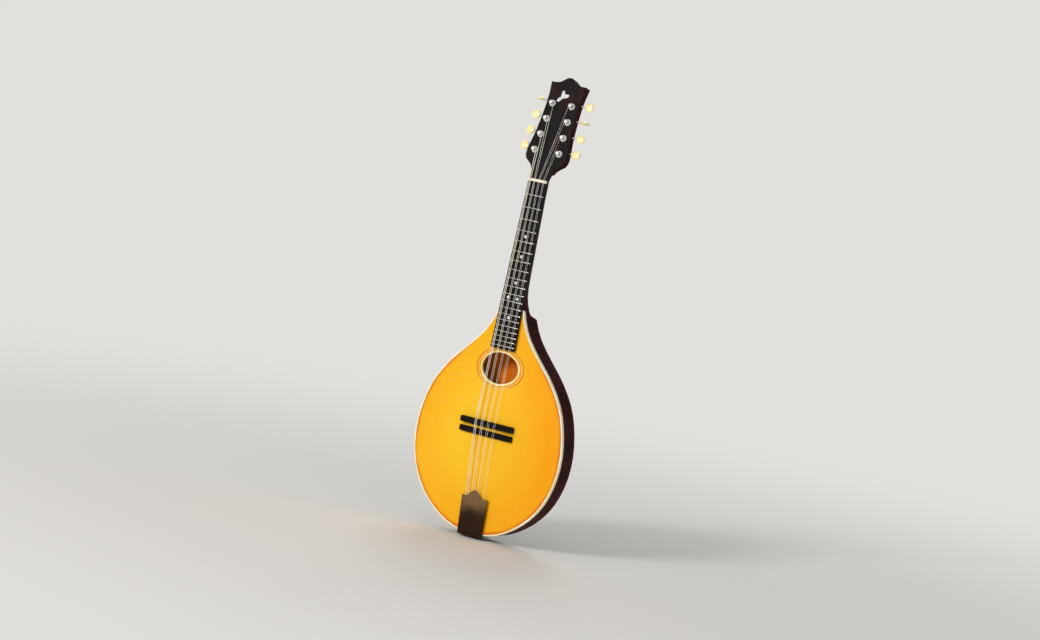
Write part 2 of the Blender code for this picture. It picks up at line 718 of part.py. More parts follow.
def build_strings(finishes):
    """Four courses of two strings, from the tailpiece's hooks over the bridge and nut to the posts."""
    for course, name in enumerate(COURSE_NAMES):
        radius = STRING_RADII[course]
        side = -1 if course < 2 else 1
        for pair in (0, 1):
            outer = pair == 0 if side < 0 else pair == 1
            rank = (0 if course in (0, 3) else 2) + (0 if outer else 1)
            tail = course_x(course, pair, COURSE_TAIL, PAIR_TAIL)
            bridge = course_x(course, pair, COURSE_BRIDGE, PAIR_BRIDGE)
            nut = course_x(course, pair, COURSE_NUT, PAIR_NUT)
            post = head_point(side * (tuner_x(rank) - POST_R - radius - 0.0002), post_v(rank), -0.0036)
            points = [
                (tail, base_y(HOOK_Z) - HOOK_TALL * 0.5, HOOK_Z + HOOK_R + radius + GAP),
                (bridge, STRING_BRIDGE_Y, BRIDGE_Z), (nut, STRING_NUT_Y, NUT_Z),
                (nut, STRING_NUT_Y + 0.0001, NUT_Z + NUT_LONG + 0.0003), tuple(post),
            ]
            wire(f"string_{name}{pair + 1}", points, radius, finishes["string"])


def wire(name, points, radius, surface):
    """A taut round wire through the points."""
    curve = bpy.data.curves.new(name, "CURVE")
    curve.dimensions = "3D"
    curve.bevel_depth = radius
    curve.bevel_resolution = 1
    curve.use_fill_caps = True
    line = curve.splines.new("POLY")
    line.points.add(len(points) - 1)
    for point, place_at in zip(line.points, points):
        point.co = (*place_at, 1)
    obj = bpy.data.objects.new(name, curve)
    curve.materials.append(surface)
    PARTS.objects.link(obj)


def base_y(z):
    """The tailpiece base's upper face, which slopes down towards the tail."""
    return BASE_TAIL_Y + (BASE_NECK_Y - BASE_TAIL_Y) * z / BASE_HIGH_Z


def build_tailpiece(finishes, bore):
    """The bent base with its hooks, the slide-on cover and the end pin that holds the base."""
    bend = BASE_LOW_Z - BASE_THICK
    section = [
        (base_y(BASE_HIGH_Z) + BASE_THICK, BASE_HIGH_Z), (base_y(BASE_HIGH_Z), BASE_HIGH_Z),
        (base_y(bend), bend + 0.0006), (base_y(bend) + 0.0006, bend), (BASE_LEG_Y, bend),
        (BASE_LEG_Y, BASE_LOW_Z), (base_y(BASE_LOW_Z) + BASE_THICK, BASE_LOW_Z),
    ]
    rings = [[(x, y, z) for y, z in section] for x in (-BASE_HALF, BASE_HALF)]
    base = loft("tailpiece_base", rings, finishes["steel"], smooth=False)
    combine(base, bore, "DIFFERENCE")
    build = bmesh.new()
    for course in range(4):
        for pair in (0, 1):
            x = course_x(course, pair, COURSE_TAIL, PAIR_TAIL)
            face = base_y(HOOK_Z)
            add_rod(build, (x, face + 0.0006, HOOK_Z), (x, face - HOOK_TALL, HOOK_Z), HOOK_R, 8)
    combine(base, finish(build, "hooks", None, helper=True), "UNION")
    build_cover(finishes)
    shank_r = PIN_SHANK_R - PIN_TAPER
    shank = [(PIN_SHANK_R, PIN_PROFILE[-1][1]), (shank_r, PIN_SHANK_HIGH_Z), (0, PIN_SHANK_HIGH_Z)]
    profile = (PIN_PROFILE[:-1] + shank)[::-1]
    turned("end_pin", profile, finishes["ebony"], Matrix.Translation((0, PIN_Y, 0)))


def cover_edge(x):
    """The height of the cover's neck-side edge: flat shoulders and an ogee up to a middle point."""
    share = min(1.0, abs(x) / (0.6 * COVER_HALF))
    return COVER_SHOULDER_Z + (COVER_APEX_Z - COVER_SHOULDER_Z) * (0.5 + 0.5 * cos(pi * share)) ** 0.8


def cover_row(share_z, drop=0.0, z=None):
    """One line of points across the cover's outside: foot, side, crown, side, foot."""
    line = []
    for k in range(13):
        share = k / 6 - 1
        line.append((share, COVER_SIDE + (COVER_CROWN - COVER_SIDE) * (1 - share**2)))
    wall = [(1, COVER_FOOT), (1, COVER_SIDE - COVER_ROUND)]
    crown = [(share * COVER_CROWN_SHARE, rise) for share, rise in line]
    row = []
    for share, rise in [(-share, rise) for share, rise in wall] + crown + wall[::-1]:
        x = share * (COVER_TAIL_HALF + (COVER_HALF - COVER_TAIL_HALF) * share_z)
        at = z if z is not None else share_z * cover_edge(x)
        row.append((x, base_y(max(at, 0)) - max(rise - drop, COVER_FOOT / 2), at))
    return row


def build_cover(finishes):
    """The cover is one stamped sheet: open towards the bridge, and turned down over the tail."""
    steps = 5
    rows = [cover_row(k / steps) for k in range(steps, -1, -1)]
    rows.append(cover_row(0, COVER_SHEET, COVER_END_Z * 0.72))
    flat = cover_row(0, 0, COVER_END_Z)
    reach = (COVER_SIDE - COVER_FOOT) * 0.6
    rows.append([(x, min(y + reach, base_y(0) - COVER_FOOT / 2), z) for x, y, z in flat])
    curl = COVER_END_CURL / COVER_TAIL_HALF**2
    rows.append([(x * 0.985, COVER_END_Y - curl * x**2, z) for x, y, z in flat])
    build = bmesh.new()
    rows = [[build.verts.new(point) for point in row] for row in rows]
    for low, high in zip(rows, rows[1:]):
        for i in range(len(low) - 1):
            build.faces.new((low[i], low[i + 1], high[i + 1], high[i]))
    bmesh.ops.recalc_face_normals(build, faces=build.faces)
    if sum(face.normal.y for face in build.faces) > 0:
        bmesh.ops.reverse_faces(build, faces=build.faces)
    mesh = bpy.data.meshes.new("tailpiece_cover")
    build.to_mesh(mesh)
    build.free()
    cover = place("tailpiece_cover", mesh, finishes["dark_metal"])
    sheet = cover.modifiers.new("sheet", "SOLIDIFY")
    sheet.thickness = COVER_SHEET
    sheet.offset = -1
    sheet.use_even_offset = True


def build_plate(side, finishes):
    """One tuner plate, with the lugs that carry its worm shafts."""
    sign = -1 if side == "bass" else 1
    face = VENEER + HEAD_WOOD + GAP
    first, last = 0, TUNERS - 1
    ends = ((first, post_v(first) - PLATE_ENDS), (last, post_v(last) + PLATE_ENDS))
    outline = []
    for index, v in ends:
        flip = 1 if index == first else -1
        for across, rise in ((-1, PLATE_CORNER), (-0.55, 0), (0.55, 0), (1, PLATE_CORNER)):
            outline.append((sign * tuner_x(index) + flip * across * PLATE_HALF, v + flip * rise))
    rings = [[(x, w, v) for x, v in outline] for w in (face, face + PLATE_W)]
    plate = loft(f"tuner_plate_{side}", rings, finishes["nickel"], HEAD_FRAME, smooth=False)

    def lugs(build):
        for index in range(TUNERS):
            v = post_v(index) + WORM_AHEAD
            for away in (-1, 1):
                x = sign * tuner_x(index) + away * (SHAFT_THREAD_HALF + LUG_THICK / 2 + GAP)
                low = (x - LUG_THICK / 2, WORM_W - LUG_HALF, v - LUG_HALF)
                add_box(build, low, (x + LUG_THICK / 2, face + PLATE_W / 2, v + LUG_HALF))

    def holes(build):
        for index in range(TUNERS):
            x, v = sign * tuner_x(index), post_v(index)
            add_rod(build, (x, WORM_W + 0.003, v), (x, face + 0.01, v), POST_FOOT_R + RUNNING, 10)
            reach = SHAFT_THREAD_HALF + LUG_THICK + 0.002
            at = v + WORM_AHEAD
            add_rod(build, (x - reach, WORM_W, at), (x + reach, WORM_W, at), SHAFT_R + RUNNING, 10)

    combine(plate, head_cutter(f"lugs_{side}", lugs), "UNION")
    combine(plate, head_cutter(f"plate_holes_{side}", holes), "DIFFERENCE")


def circle(radii, w):
    """A ring about Y with one radius for each point."""
    turn = 2 * pi / len(radii)
    return [(r * cos(turn * i), w, r * sin(turn * i)) for i, r in enumerate(radii)]


def build_post(name, index, sign, finishes):
    """A string post with its gear, turning about the head's own normal."""
    points = 2 * GEAR_TEETH
    teeth = [GEAR_R + (TOOTH if i % 2 else 0) for i in range(points)]
    rings = [circle([0.85 * POST_R] * points, -POST_PROUD)]
    rings += [circle([POST_R] * points, w) for w in (0.0005 - POST_PROUD, WORM_W - GEAR_HALF - GAP)]
    rings += [circle(teeth, w) for w in (WORM_W - GEAR_HALF, WORM_W + GEAR_HALF)]
    foot = VENEER + HEAD_WOOD + GAP + PLATE_W
    rings += [circle([POST_FOOT_R] * points, w) for w in (WORM_W + GEAR_HALF + GAP, foot)]
    frame = HEAD_FRAME @ Matrix.Translation((sign * tuner_x(index), 0, post_v(index)))
    loft(name, rings, finishes["nickel"], frame)


def round_x(radius_a, radius_b, x, sides):
    """A ring about X: radius_a along the head and radius_b back from it."""
    turn = 2 * pi / sides
    return [(x, radius_b * sin(turn * i), radius_a * cos(turn * i)) for i in range(sides)]


def build_worm(name, index, sign, finishes):
    """A worm shaft: a plain end, the thread between the lugs, and the run out to its button."""
    inner = SHAFT_THREAD_HALF + LUG_THICK + 0.0012
    rings = [round_x(SHAFT_R, SHAFT_R, -inner, 8), round_x(SHAFT_R, SHAFT_R, -SHAFT_THREAD_HALF, 8)]
    step = 2 * SHAFT_THREAD_HALF / THREADS
    for k in range(THREADS):
        start = -SHAFT_THREAD_HALF + step * k
        rings.append(round_x(THREAD_R, THREAD_R, start + step * 0.35, 8))
        rings.append(round_x(SHAFT_R - 0.0003, SHAFT_R - 0.0003, start + step * 0.75, 8))
    rings.append(round_x(SHAFT_R, SHAFT_R, SHAFT_THREAD_HALF, 8))
    reach = button_x(index) - BUTTON_LONG / 2 - tuner_x(index) - GAP
    rings.append(round_x(SHAFT_R, SHAFT_R, reach, 8))
    loft(name, rings, finishes["nickel"], tuner_frame(index, sign))


def button_x(index):
    return BUTTON_FIRST_X + BUTTON_STEP_X * index


def tuner_frame(index, sign):
    """The worm's frame: its local X points outward along the shaft."""
    frame = HEAD_FRAME @ Matrix.Translation((sign * tuner_x(index), WORM_W, post_v(index) + WORM_AHEAD))
    return frame @ Matrix.Rotation(pi if sign < 0 else 0, 4, "Z")


def build_button(name, index, sign, finishes):
    """A flattened oval grip on the end of a worm shaft."""
    start = button_x(index) - BUTTON_LONG / 2 - tuner_x(index)
    wide, thick = BUTTON_HALF_WIDE, BUTTON_HALF_THICK
    stations = [
        (0.00, 0.30, 0.80), (0.10, 0.42, 0.84), (0.22, 0.86, 0.90), (0.50, 1.00, 1.00),
        (0.78, 0.90, 0.92), (0.94, 0.62, 0.66), (1.00, 0.34, 0.34),
    ]
    rings = [round_x(wide * a, thick * b, start + BUTTON_LONG * share, 12) for share, a, b in stations]
    turn = Matrix.Rotation(pi / 2, 4, "X") if name_key(name) in EDGE_ON else Matrix.Identity(4)
    loft(name, rings, finishes["ivoroid"], tuner_frame(index, sign) @ turn)


def name_key(name):
    """The side and index in a tuner piece's name, such as button_bass_1."""
    side, number = name.split("_")[-2:]
    return side, int(number) - 1


def build_tuners(finishes):
    for side, sign in (("bass", -1), ("treble", 1)):
        build_plate(side, finishes)
        for index in range(TUNERS):
            label = f"{side}_{index + 1}"
            build_post(f"post_{label}", index, sign, finishes)
            build_worm(f"worm_shaft_{label}", index, sign, finishes)
            build_button(f"button_{label}", index, sign, finishes)


def main():
    for obj in list(bpy.data.objects):
        bpy.data.objects.remove(obj)
    for collection in (PARTS, CUTTERS):
        bpy.context.scene.collection.children.link(collection)
    CUTTERS.hide_render = True
    finishes = {
        "spruce": material("spruce_top", (0.93, 0.46, 0.03), 0.25),
        "dark_wood": material("dark_wood", (0.045, 0.014, 0.016), 0.25),
        "bare_wood": material("bare_wood", (0.55, 0.36, 0.18), 0.7),
        "ebony": material("ebony", (0.012, 0.010, 0.010), 0.35),
        "binding": material("binding", (0.90, 0.83, 0.62), 0.35),
        "ivoroid": material("ivoroid", (0.93, 0.78, 0.42), 0.3),
        "pearl": material("pearl", (0.85, 0.85, 0.80), 0.25),
        "string": material("string_steel", (0.70, 0.69, 0.66), 0.3, 1.0),
        "steel": material("plate_steel", (0.45, 0.44, 0.42), 0.3, 1.0),
        "dark_metal": material("dark_metal", (0.10, 0.075, 0.055), 0.3, 1.0),
        "nickel": material("nickel", (0.72, 0.71, 0.69), 0.25, 1.0),
    }
    bore = build_body(finishes)
    build_neck(finishes)
    build_board(finishes)
    build_bridge(finishes)
    build_tailpiece(finishes, bore)
    build_tuners(finishes)
    build_strings(finishes)


main()
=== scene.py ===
from math import cos, pi, radians, sin, tan

import bmesh
import bpy
import numpy as np
from mathutils import Matrix, Vector


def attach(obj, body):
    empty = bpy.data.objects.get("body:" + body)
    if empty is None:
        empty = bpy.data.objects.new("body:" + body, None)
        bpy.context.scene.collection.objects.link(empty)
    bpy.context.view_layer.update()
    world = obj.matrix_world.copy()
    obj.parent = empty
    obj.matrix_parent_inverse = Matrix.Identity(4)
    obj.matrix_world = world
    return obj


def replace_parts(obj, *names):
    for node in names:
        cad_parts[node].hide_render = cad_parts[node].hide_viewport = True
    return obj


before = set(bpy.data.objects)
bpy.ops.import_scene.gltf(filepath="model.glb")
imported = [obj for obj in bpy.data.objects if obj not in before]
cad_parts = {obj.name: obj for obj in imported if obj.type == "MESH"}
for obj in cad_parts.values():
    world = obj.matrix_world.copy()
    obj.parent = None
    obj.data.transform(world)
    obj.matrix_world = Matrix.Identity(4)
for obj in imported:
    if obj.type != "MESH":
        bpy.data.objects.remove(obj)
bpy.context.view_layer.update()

ROOT = "mandolin"
SIDES = {"bass": -1, "treble": 1}

# The mandolin's own frame: X from the bass side to the treble side, Y from front to back, Z from tail to
# head. All lengths are in metres.
CENTRE_Z = 0.150
REACH_UNIT = 0.2
HOLE_Z = 0.2462
HOLE_A, HOLE_B = 0.0307, 0.0228

# Fingerboard, nut and frets
SCALE = 0.3524
NUT_Z = 0.5205
NUT_LONG = 0.0040
NUT_HALF = 0.0150
BOARD_NUT_Y = 0.0053
BOARD_TILT = radians(2.86)
BOARD_THICK = 0.0035
BOARD_END_Z = 0.2743
BOARD_END_HALF = 0.0202
FRETS = 20
FRET_CROWN, FRET_HALF_WIDE, FRET_SUNK = 0.00075, 0.00065, 0.0002
DOT_FRETS = {5: 1, 7: 1, 10: 1, 12: 2, 15: 1}
DOT_R = 0.0023
DOT_PAIR = 0.0155

# Strings, from the thickest pair to the thinnest, and the bridge and tailpiece that hold them
COURSES = 4
STRING_RADII = [0.00048, 0.00030, 0.00019, 0.00014]
STRING_NUT_Y = 0.0040
STRING_BRIDGE_Y = -0.0158
COURSE_NUT, PAIR_NUT = 0.0076, 0.0010
COURSE_BRIDGE, PAIR_BRIDGE = 0.0107, 0.0013
COURSE_HOOK, PAIR_HOOK = 0.0090, 0.0021
BRIDGE_Z = 0.1635
BAR_TOP_Y = -0.0149
SADDLE_REACH, SADDLE_HALF = 0.0225, 0.0008
HOOK_Z, HOOK_R = 0.0280, 0.0009
BASE_LONG, BASE_TAIL_Y, BASE_HEAD_Y = 0.0480, -0.0016, -0.0040

# The head's frame: X across, Y into the head from its face, Z towards its tip
HEAD_FRAME = Matrix.Translation((0, 0.0069, 0.5248)) @ Matrix.Rotation(radians(-15), 4, "X")
TUNERS = 4
POST_X, POST_X_STEP = 0.0206, 0.0014
POST_V, POST_PITCH = 0.0419, 0.0241
POST_R = 0.0030
POST_PROUD = 0.0072
POST_COURSES = {"bass": (0, 0, 1, 1), "treble": (3, 3, 2, 2)}
TURNS_TOP_W, TURNS_ROOM, TURNS_MOST = -0.0036, 0.0022, 4.6
WORM_AHEAD = 0.0053
WORM_W = 0.0076
PLATE_FACE_W = 0.0142
BUTTON_X, BUTTON_X_STEP = 0.0440, 0.0011
BUTTON_LONG = 0.0130
BUTTON_HALF_WIDE, BUTTON_HALF_THICK = 0.0068, 0.0023
BUTTON_WIDEST = 0.56
BUTTON_RINGS, BUTTON_SIDES = 18, 36
EDGE_ON = ("bass_4", "treble_3")

# The photo's viewing angle, and the floor that the mandolin stands on
VIEW_AZIMUTH = radians(30.8)
VIEW_ELEVATION = radians(5.1)
VIEW_ROLL = radians(10.4)
VIEW_TARGET = Vector((0, 0.010, 0.330))
VIEW_DISTANCE = 4.655
LENS = 111.4
SHIFT = (0.0049, -0.0081)
FLOOR_Z = -0.0054
FLOOR_RADIUS = 40.0
PALE = (0.76, 0.745, 0.715)


def tuner_x(index):
    """How far from the head's middle a string post stands."""
    return POST_X - POST_X_STEP * index


def post_v(index):
    """How far up the head a string post stands."""
    return POST_V + POST_PITCH * index


def button_x(index):
    """How far from the head's middle a button's centre is."""
    return BUTTON_X - BUTTON_X_STEP * index


def tuners():
    """Each tuner's label, its side as a sign and its place up the head."""
    return [(f"{side}_{index + 1}", sign, index) for side, sign in SIDES.items() for index in range(TUNERS)]


def fret_z(number):
    """A fret's place along the fingerboard, by the twelfth root of two."""
    return NUT_Z - SCALE * (1 - 2 ** (-number / 12))


def board_y(z):
    """The fingerboard's playing face."""
    return BOARD_NUT_Y + (z - NUT_Z) * tan(BOARD_TILT)


def board_half(z):
    """Half the fingerboard's width."""
    return NUT_HALF + (BOARD_END_HALF - NUT_HALF) * (NUT_Z - z) / (NUT_Z - BOARD_END_Z)


def string_xs(spacing, pair_half):
    """Each string's place across, with its radius, from the bass side."""
    return [
        ((course - 1.5) * spacing + side * pair_half, STRING_RADII[course])
        for course in range(COURSES) for side in (-1, 1)
    ]


def bearings(count):
    """The cosine and sine of each of so many even steps round a circle."""
    return [(cos(2 * pi * k / count), sin(2 * pi * k / count)) for k in range(count)]


def srgb(red, green, blue):
    """A linear colour from display values of 0 to 255."""
    shares = [channel / 255 for channel in (red, green, blue)]
    return tuple(s / 12.92 if s <= 0.04045 else ((s + 0.055) / 1.055) ** 2.4 for s in shares)


# Materials

class Look:
    """A Principled material, with short calls for building what feeds it."""

    def __init__(self, name, colour, roughness, **sockets):
        self.material = bpy.data.materials.new(name)
        self.material.use_nodes = True
        self.tree = self.material.node_tree
        self.surface = self.tree.nodes["Principled BSDF"]
        self.surface.inputs["Base Color"].default_value = (*colour, 1)
        self.surface.inputs["Roughness"].default_value = roughness
        for socket, value in sockets.items():
            self.surface.inputs[socket.replace("_", " ")].default_value = value
        self.material.diffuse_color = (*colour, 1)
        self.here = self.node("TexCoord").outputs["Object"]

    def node(self, kind, *values, **settings):
        """A shader node, with its first inputs and its settings filled in."""
        made = self.tree.nodes.new("ShaderNode" + kind)
        for name, value in settings.items():
            setattr(made, name, value)
        for index, value in enumerate(values):
            self.give(made.inputs[index], value)
        return made

    def give(self, socket, value):
        """Links or sets a socket."""
        if isinstance(value, bpy.types.NodeSocket):
            self.tree.links.new(value, socket)
        elif value is not None:
            socket.default_value = value

    def math(self, operation, *values):
        return self.node("Math", *values, operation=operation).outputs[0]

    def axes(self, vector=None):
        """The X, Y and Z of a place on the part."""
        return self.node("SeparateXYZ", vector or self.here).outputs

    def stretched(self, scale):
        return self.node("VectorMath", self.here, scale, operation="MULTIPLY").outputs[0]

    def noise(self, scale, detail=3.0, rough=0.55):
        """Noise from 0 to 1, with its own scale along each axis."""
        made = self.node("TexNoise", self.stretched(scale))
        made.inputs["Scale"].default_value = 1.0
        made.inputs["Detail"].default_value = detail
        made.inputs["Roughness"].default_value = rough
        return made.outputs[0]

    def range(self, value, low, high, to_low=0.0, to_high=1.0):
        """A value eased from one range to another, and held at the ends."""
        made = self.node("MapRange", value, low, high, to_low, to_high, interpolation_type="SMOOTHSTEP")
        return made.outputs[0]

    def mix(self, share, first, second):
        """One colour mixed into another."""
        made = self.node("Mix", data_type="RGBA", blend_type="MIX")
        self.give(made.inputs["Factor"], share)
        for socket, value in ((made.inputs[6], first), (made.inputs[7], second)):
            self.give(socket, (*value, 1) if isinstance(value, tuple) else value)
        return made.outputs[2]

    def colour(self, value):
        self.give(self.surface.inputs["Base Color"], value)
        return self

    def rough(self, value):
        self.give(self.surface.inputs["Roughness"], value)
        return self

    def bump(self, height, distance, strength=1.0):
        made = self.node("Bump")
        made.inputs["Strength"].default_value = strength
        made.inputs["Distance"].default_value = distance
        self.give(made.inputs["Height"], height)
        self.give(self.surface.inputs["Normal"], made.outputs[0])
        return self


def rim_reach():
    """The rim's distance from the body's centre at even bearings, as shares of REACH_UNIT."""
    points = np.array([vertex.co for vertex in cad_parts["top_binding"].data.vertices])
    points = points[points[:, 0] >= 0]
    bearing = np.arctan2(points[:, 0], CENTRE_Z - points[:, 2]) / pi
    reach = np.hypot(points[:, 0], points[:, 2] - CENTRE_Z) / REACH_UNIT
    stops = np.linspace(0, 0.96, 17)
    return [(float(s), float(reach[np.abs(bearing - s) < 0.035].max())) for s in stops]


def rim_share(look):
    """How far a place lies from the body's centre to its rim, from 0 to 1."""
    x, _, z = look.axes()
    up = look.math("SUBTRACT", CENTRE_Z, z)
    across = look.math("ABSOLUTE", x)
    bearing = look.math("DIVIDE", look.math("ARCTAN2", across, up), pi)
    curve = look.node("FloatCurve")
    look.give(curve.inputs["Value"], bearing)
    line = curve.mapping.curves[0]
    stops = rim_reach()
    line.points[0].location, line.points[-1].location = stops[0], (1.0, stops[-1][1])
    for stop in stops[1:]:
        line.points.new(*stop)
    curve.mapping.update()
    reach = look.math("MULTIPLY", curve.outputs[0], REACH_UNIT)
    squares = look.math("ADD", look.math("POWER", across, 2.0), look.math("POWER", up, 2.0))
    return look.math("DIVIDE", look.math("SQRT", squares), reach)


def oval_band(look, x, z, start, end):
    """1 on a band round the sound hole, from one distance out from its edge to another."""
    edge = 0.0003
    across = look.math("POWER", look.math("DIVIDE", x, HOLE_A), 2.0)
    high = look.math("DIVIDE", look.math("SUBTRACT", z, HOLE_Z), HOLE_B)
    away = look.math("SQRT", look.math("ADD", across, look.math("POWER", high, 2.0)))
    out = look.math("MULTIPLY", look.math("SUBTRACT", away, 1.0), (HOLE_A + HOLE_B) / 2)
    return look.math("MULTIPLY", look.range(out, start - edge, start), look.range(out, end + edge, end))


def spruce_look():
    """Book-matched spruce, stained orange and darker towards the rim, with painted shade that deepens the
    orange towards the treble side, under a clear gloss.
    """
    orange = srgb(250, 178, 40)
    look = Look("spruce_orange", orange, 0.34, Specular_IOR_Level=0.13, Coat_Weight=0.05, Coat_Roughness=0.07)
    share = rim_share(look)
    x, _, z = look.axes()
    # Painted shade: the orange deepens towards the treble side, the side that lies in shade, on top of the
    # real darker stain towards the rim.
    side = look.math("MULTIPLY", look.range(x, -0.05, 0.11), 0.45)
    depth = look.math("ADD", look.range(share, 0.35, 1.0, 0.0, 0.55), side)
    rim_stain_and_painted_shade = look.mix(depth, srgb(255, 205, 36), srgb(255, 168, 0))
    stain = look.mix(look.range(share, 0.94, 0.975), rim_stain_and_painted_shade, srgb(226, 104, 0))
    wander = look.math("MULTIPLY", look.noise((14, 14, 5), 2.0), 26.0)
    across = look.math("MULTIPLY", look.math("ABSOLUTE", x), 2 * pi / 0.0021)
    ring = look.math("SINE", look.math("ADD", across, wander))
    late = look.range(ring, 0.25, 1.0)
    grained = look.mix(look.math("MULTIPLY", late, 0.36), stain, srgb(228, 134, 4))
    cloud = look.range(look.noise((26, 26, 9), 4.0), 0.35, 0.7)
    clouded = look.mix(look.math("MULTIPLY", cloud, 0.16), grained, srgb(255, 204, 56))
    fibre = look.noise((1700, 1700, 60), 2.0)
    fine = look.mix(look.math("MULTIPLY", fibre, 0.14), clouded, srgb(214, 112, 4))
    high = look.math("MULTIPLY", look.range(z, 0.10, 0.20), look.range(x, 0.02, -0.07))
    fleck = look.range(look.noise((420, 420, 300), 1.0, 0.3), 0.71, 0.76)
    worn = look.math("MULTIPLY", look.math("MULTIPLY", fleck, high), 0.75)
    marked = look.mix(worn, fine, srgb(244, 214, 178))
    line = oval_band(look, x, z, 0.0072, 0.0082)
    halo = oval_band(look, x, z, 0.0026, 0.0058)
    ringed = look.mix(look.math("MULTIPLY", halo, 0.5), marked, srgb(246, 140, 6))
    look.colour(look.mix(look.math("MULTIPLY", line, 0.85), ringed, srgb(196, 88, 6)))
    smear = look.noise((34, 34, 12), 4.0)
    look.rough(look.range(smear, 0.3, 0.75, 0.27, 0.40))
    height = look.math("ADD", look.math("MULTIPLY", late, 0.6), fibre)
    return look.bump(height, 0.00003, 0.5).material


def dark_wood_look(name, grain, figure):
    """Dark red-brown varnish over figured wood, with the grain along one axis."""
    look = Look(name, srgb(52, 18, 20), 0.50, Specular_IOR_Level=0.04)
    flame = look.range(look.noise(figure, 3.0), 0.36, 0.66)
    cloud = look.range(look.noise((17, 17, 13), 4.0), 0.35, 0.7)
    deep = look.mix(cloud, srgb(36, 9, 11), srgb(56, 16, 18))
    lit = look.mix(look.math("MULTIPLY", flame, 0.5), deep, srgb(80, 25, 24))
    pores = look.noise(grain, 4.0, 0.65)
    pored = look.mix(look.range(pores, 0.52, 0.75, 0.0, 0.5), lit, srgb(20, 7, 9))
    look.colour(pored).rough(look.range(look.noise((40, 40, 30), 4.0), 0.3, 0.75, 0.46, 0.58))
    return look.bump(pores, 0.00004, 0.35).material


def bare_wood_look(name, pale, deep, pore):
    """Unvarnished wood inside the body, with grain and bands between its given tones, which carry painted
    light on the back and painted shade elsewhere.
    """
    look = Look(name, pale, 0.7, Specular_IOR_Level=0.2)
    grain = look.noise((500, 420, 26), 4.0)
    bands = look.range(look.noise((120, 90, 8), 3.0), 0.35, 0.65)
    base = look.mix(bands, pale, deep)
    look.colour(look.mix(look.range(grain, 0.5, 0.75, 0.0, 0.45), base, pore))
    return look.bump(grain, 0.00012, 0.4).material


def ebony_look(name, grain, gloss, tint=srgb(44, 27, 22), patches=0.35):
    """Ebony with fine streaks, and soft brown patches where the finish has worn."""
    look = Look(name, srgb(17, 14, 14), gloss, Specular_IOR_Level=0.1)
    streak = look.noise(grain, 4.0, 0.6)
    base = look.mix(look.range(streak, 0.45, 0.72), srgb(9, 7, 7), srgb(28, 22, 20))
    worn = look.range(look.noise((38, 38, 24), 3.0), 0.48, 0.72, 0.0, patches)
    look.colour(look.mix(worn, base, tint))
    look.rough(look.range(look.noise((60, 60, 60), 3.0), 0.3, 0.7, gloss - 0.06, gloss + 0.1))
    return look.bump(streak, 0.00005, 0.5).material


def binding_look(name, fresh, yellowed):
    """Cream celluloid, yellowed unevenly, with fine scrapes."""
    look = Look(name, fresh, 0.32, Coat_Weight=0.15, Coat_Roughness=0.15)
    aged = look.range(look.noise((30, 30, 30), 4.0), 0.35, 0.7)
    base = look.mix(aged, fresh, yellowed)
    soil = look.range(look.noise((300, 300, 300), 4.0, 0.7), 0.62, 0.8, 0.0, 0.45)
    look.colour(look.mix(soil, base, srgb(190, 160, 105)))
    return look.bump(look.noise((900, 900, 500)), 0.00004, 0.3).material


def ivoroid_look(name, pale, deep, stain):
    """Polished ivory-coloured celluloid or bone with faint layers."""
    look = Look(name, pale, 0.26, Coat_Weight=0.25, Coat_Roughness=0.1)
    layers = look.range(look.noise((70, 950, 950), 3.0), 0.42, 0.62)
    base = look.mix(layers, pale, deep)
    aged = look.range(look.noise((120, 120, 120), 3.0), 0.55, 0.78, 0.0, 0.5)
    look.colour(look.mix(aged, base, stain))
    return look.bump(layers, 0.00003, 0.25).material


def pearl_look():
    """Mother of pearl: pale cells that shift between green, pink and silver."""
    look = Look("pearl_shell", srgb(226, 228, 226), 0.2, Coat_Weight=0.8, Coat_Roughness=0.05)
    warp = look.node("TexNoise", look.stretched((260, 260, 200)))
    warp.inputs["Scale"].default_value = 1.0
    cells = look.node("TexVoronoi", warp.outputs[1])
    cells.inputs["Scale"].default_value = 7.0
    tone = look.axes(cells.outputs["Color"])
    cool = look.mix(tone[0], srgb(240, 240, 236), srgb(188, 214, 214))
    look.colour(look.mix(look.math("MULTIPLY", tone[1], 0.6), cool, srgb(236, 206, 216)))
    return look.bump(cells.outputs["Distance"], 0.00003, 0.3).material


def metal_look(name, colour, dull, roughness, smear, metallic=0.85):
    """Plated metal with fingered smears, fine scratches and a duller tone where it has worn."""
    look = Look(name, colour, roughness, Metallic=metallic)
    patches = look.noise(smear, 4.0, 0.6)
    look.colour(look.mix(look.range(patches, 0.42, 0.72), colour, dull))
    lines = look.noise((900, 900, 60), 3.0, 0.7)
    both = look.math("MULTIPLY", look.math("ADD", lines, patches), 0.5)
    look.rough(look.range(both, 0.35, 0.68, roughness - 0.07, roughness + 0.14))
    return look.bump(lines, 0.00002, 0.3).material


def cover_look():
    """The cover's dark plate: brown and lighter towards the bridge, near black at the tail."""
    look = Look("dark_plate", srgb(120, 98, 70), 0.26, Metallic=1.0)
    _, _, z = look.axes()
    cloud = look.noise((55, 55, 40), 4.0, 0.6)
    place = look.math("ADD", z, look.math("MULTIPLY", cloud, 0.022))
    lighter_towards_bridge = look.range(place, 0.036, 0.062)
    base = look.mix(lighter_towards_bridge, srgb(62, 46, 35), srgb(142, 114, 80))
    spots = look.range(look.noise((420, 420, 420), 3.0, 0.7), 0.56, 0.72, 0.0, 0.6)
    look.colour(look.mix(spots, base, srgb(38, 27, 21)))
    look.rough(look.range(cloud, 0.3, 0.7, 0.2, 0.36))
    return look.bump(look.noise((700, 700, 700), 4.0), 0.00003, 0.35).material


